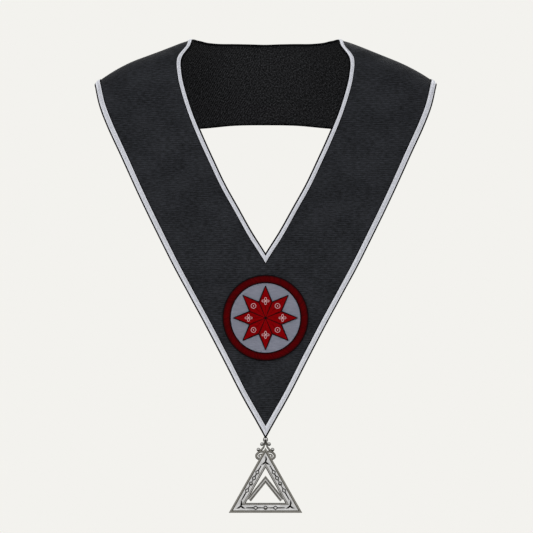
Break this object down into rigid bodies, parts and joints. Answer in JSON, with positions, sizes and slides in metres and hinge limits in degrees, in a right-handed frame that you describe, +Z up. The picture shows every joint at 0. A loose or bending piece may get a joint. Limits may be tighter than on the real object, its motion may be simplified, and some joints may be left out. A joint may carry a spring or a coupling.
{
  "type": "masonic collar",
  "caption": "Black ribbon V collar with silver lace edges, an embroidered star roundel, and a pierced silver triangle jewel that swings from its point.",
  "frame": {"origin": "middle of the neck opening, level with the top of the shoulders", "axes": "+Z up, -Y to the wearer's front, X across the shoulders"},
  "size_m": [0.422, 0.1777, 0.5845],
  "materials": {
    "ribbon": "black ribbed moire ribbon",
    "lining": "fine dark twill",
    "lace": "flat silver lace, woven",
    "felt": "black felt and thread",
    "grey_satin": "grey satin-stitch ground",
    "red_cord": "dark red twisted cord",
    "red_satin": "red satin stitch",
    "pale_thread": "pale thread",
    "old_silver": "cast antique silver, dark in the recesses"
  },
  "bodies": {
    "collar": {"front_ribbon_right": "ribbon", "back_ribbon": "ribbon", "front_ribbon_left": "ribbon", "lining_right": "lining", "lining_back": "lining", "lining_left": "lining", "neck_lace": "lace", "hem_lace": "lace", "badge_backing": "felt", "badge_field": "grey_satin", "badge_cord": "red_cord", "star_ground": "felt", "star_ray_1": "red_satin", "star_ray_2": "red_satin", "star_ray_3": "red_satin", "star_ray_4": "red_satin", "star_ray_5": "red_satin", "star_ray_6": "red_satin", "star_ray_7": "red_satin", "star_ray_8": "red_satin", "star_motif_1": "pale_thread", "star_motif_2": "pale_thread", "star_motif_3": "pale_thread", "star_motif_4": "pale_thread", "star_motif_5": "pale_thread", "star_motif_6": "pale_thread", "star_motif_7": "pale_thread", "star_motif_8": "pale_thread", "jewel_loop": "old_silver"},
    "jewel": {"jewel": "old_silver"}
  },
  "joints": [
    {"name": "jewel_swing", "type": "hinge", "parent": "collar", "child": "jewel", "pos_m": [0, -0.09711, -0.49511], "axis": [-1, 0, 0], "range_deg": [-80, 80]}
  ]
}
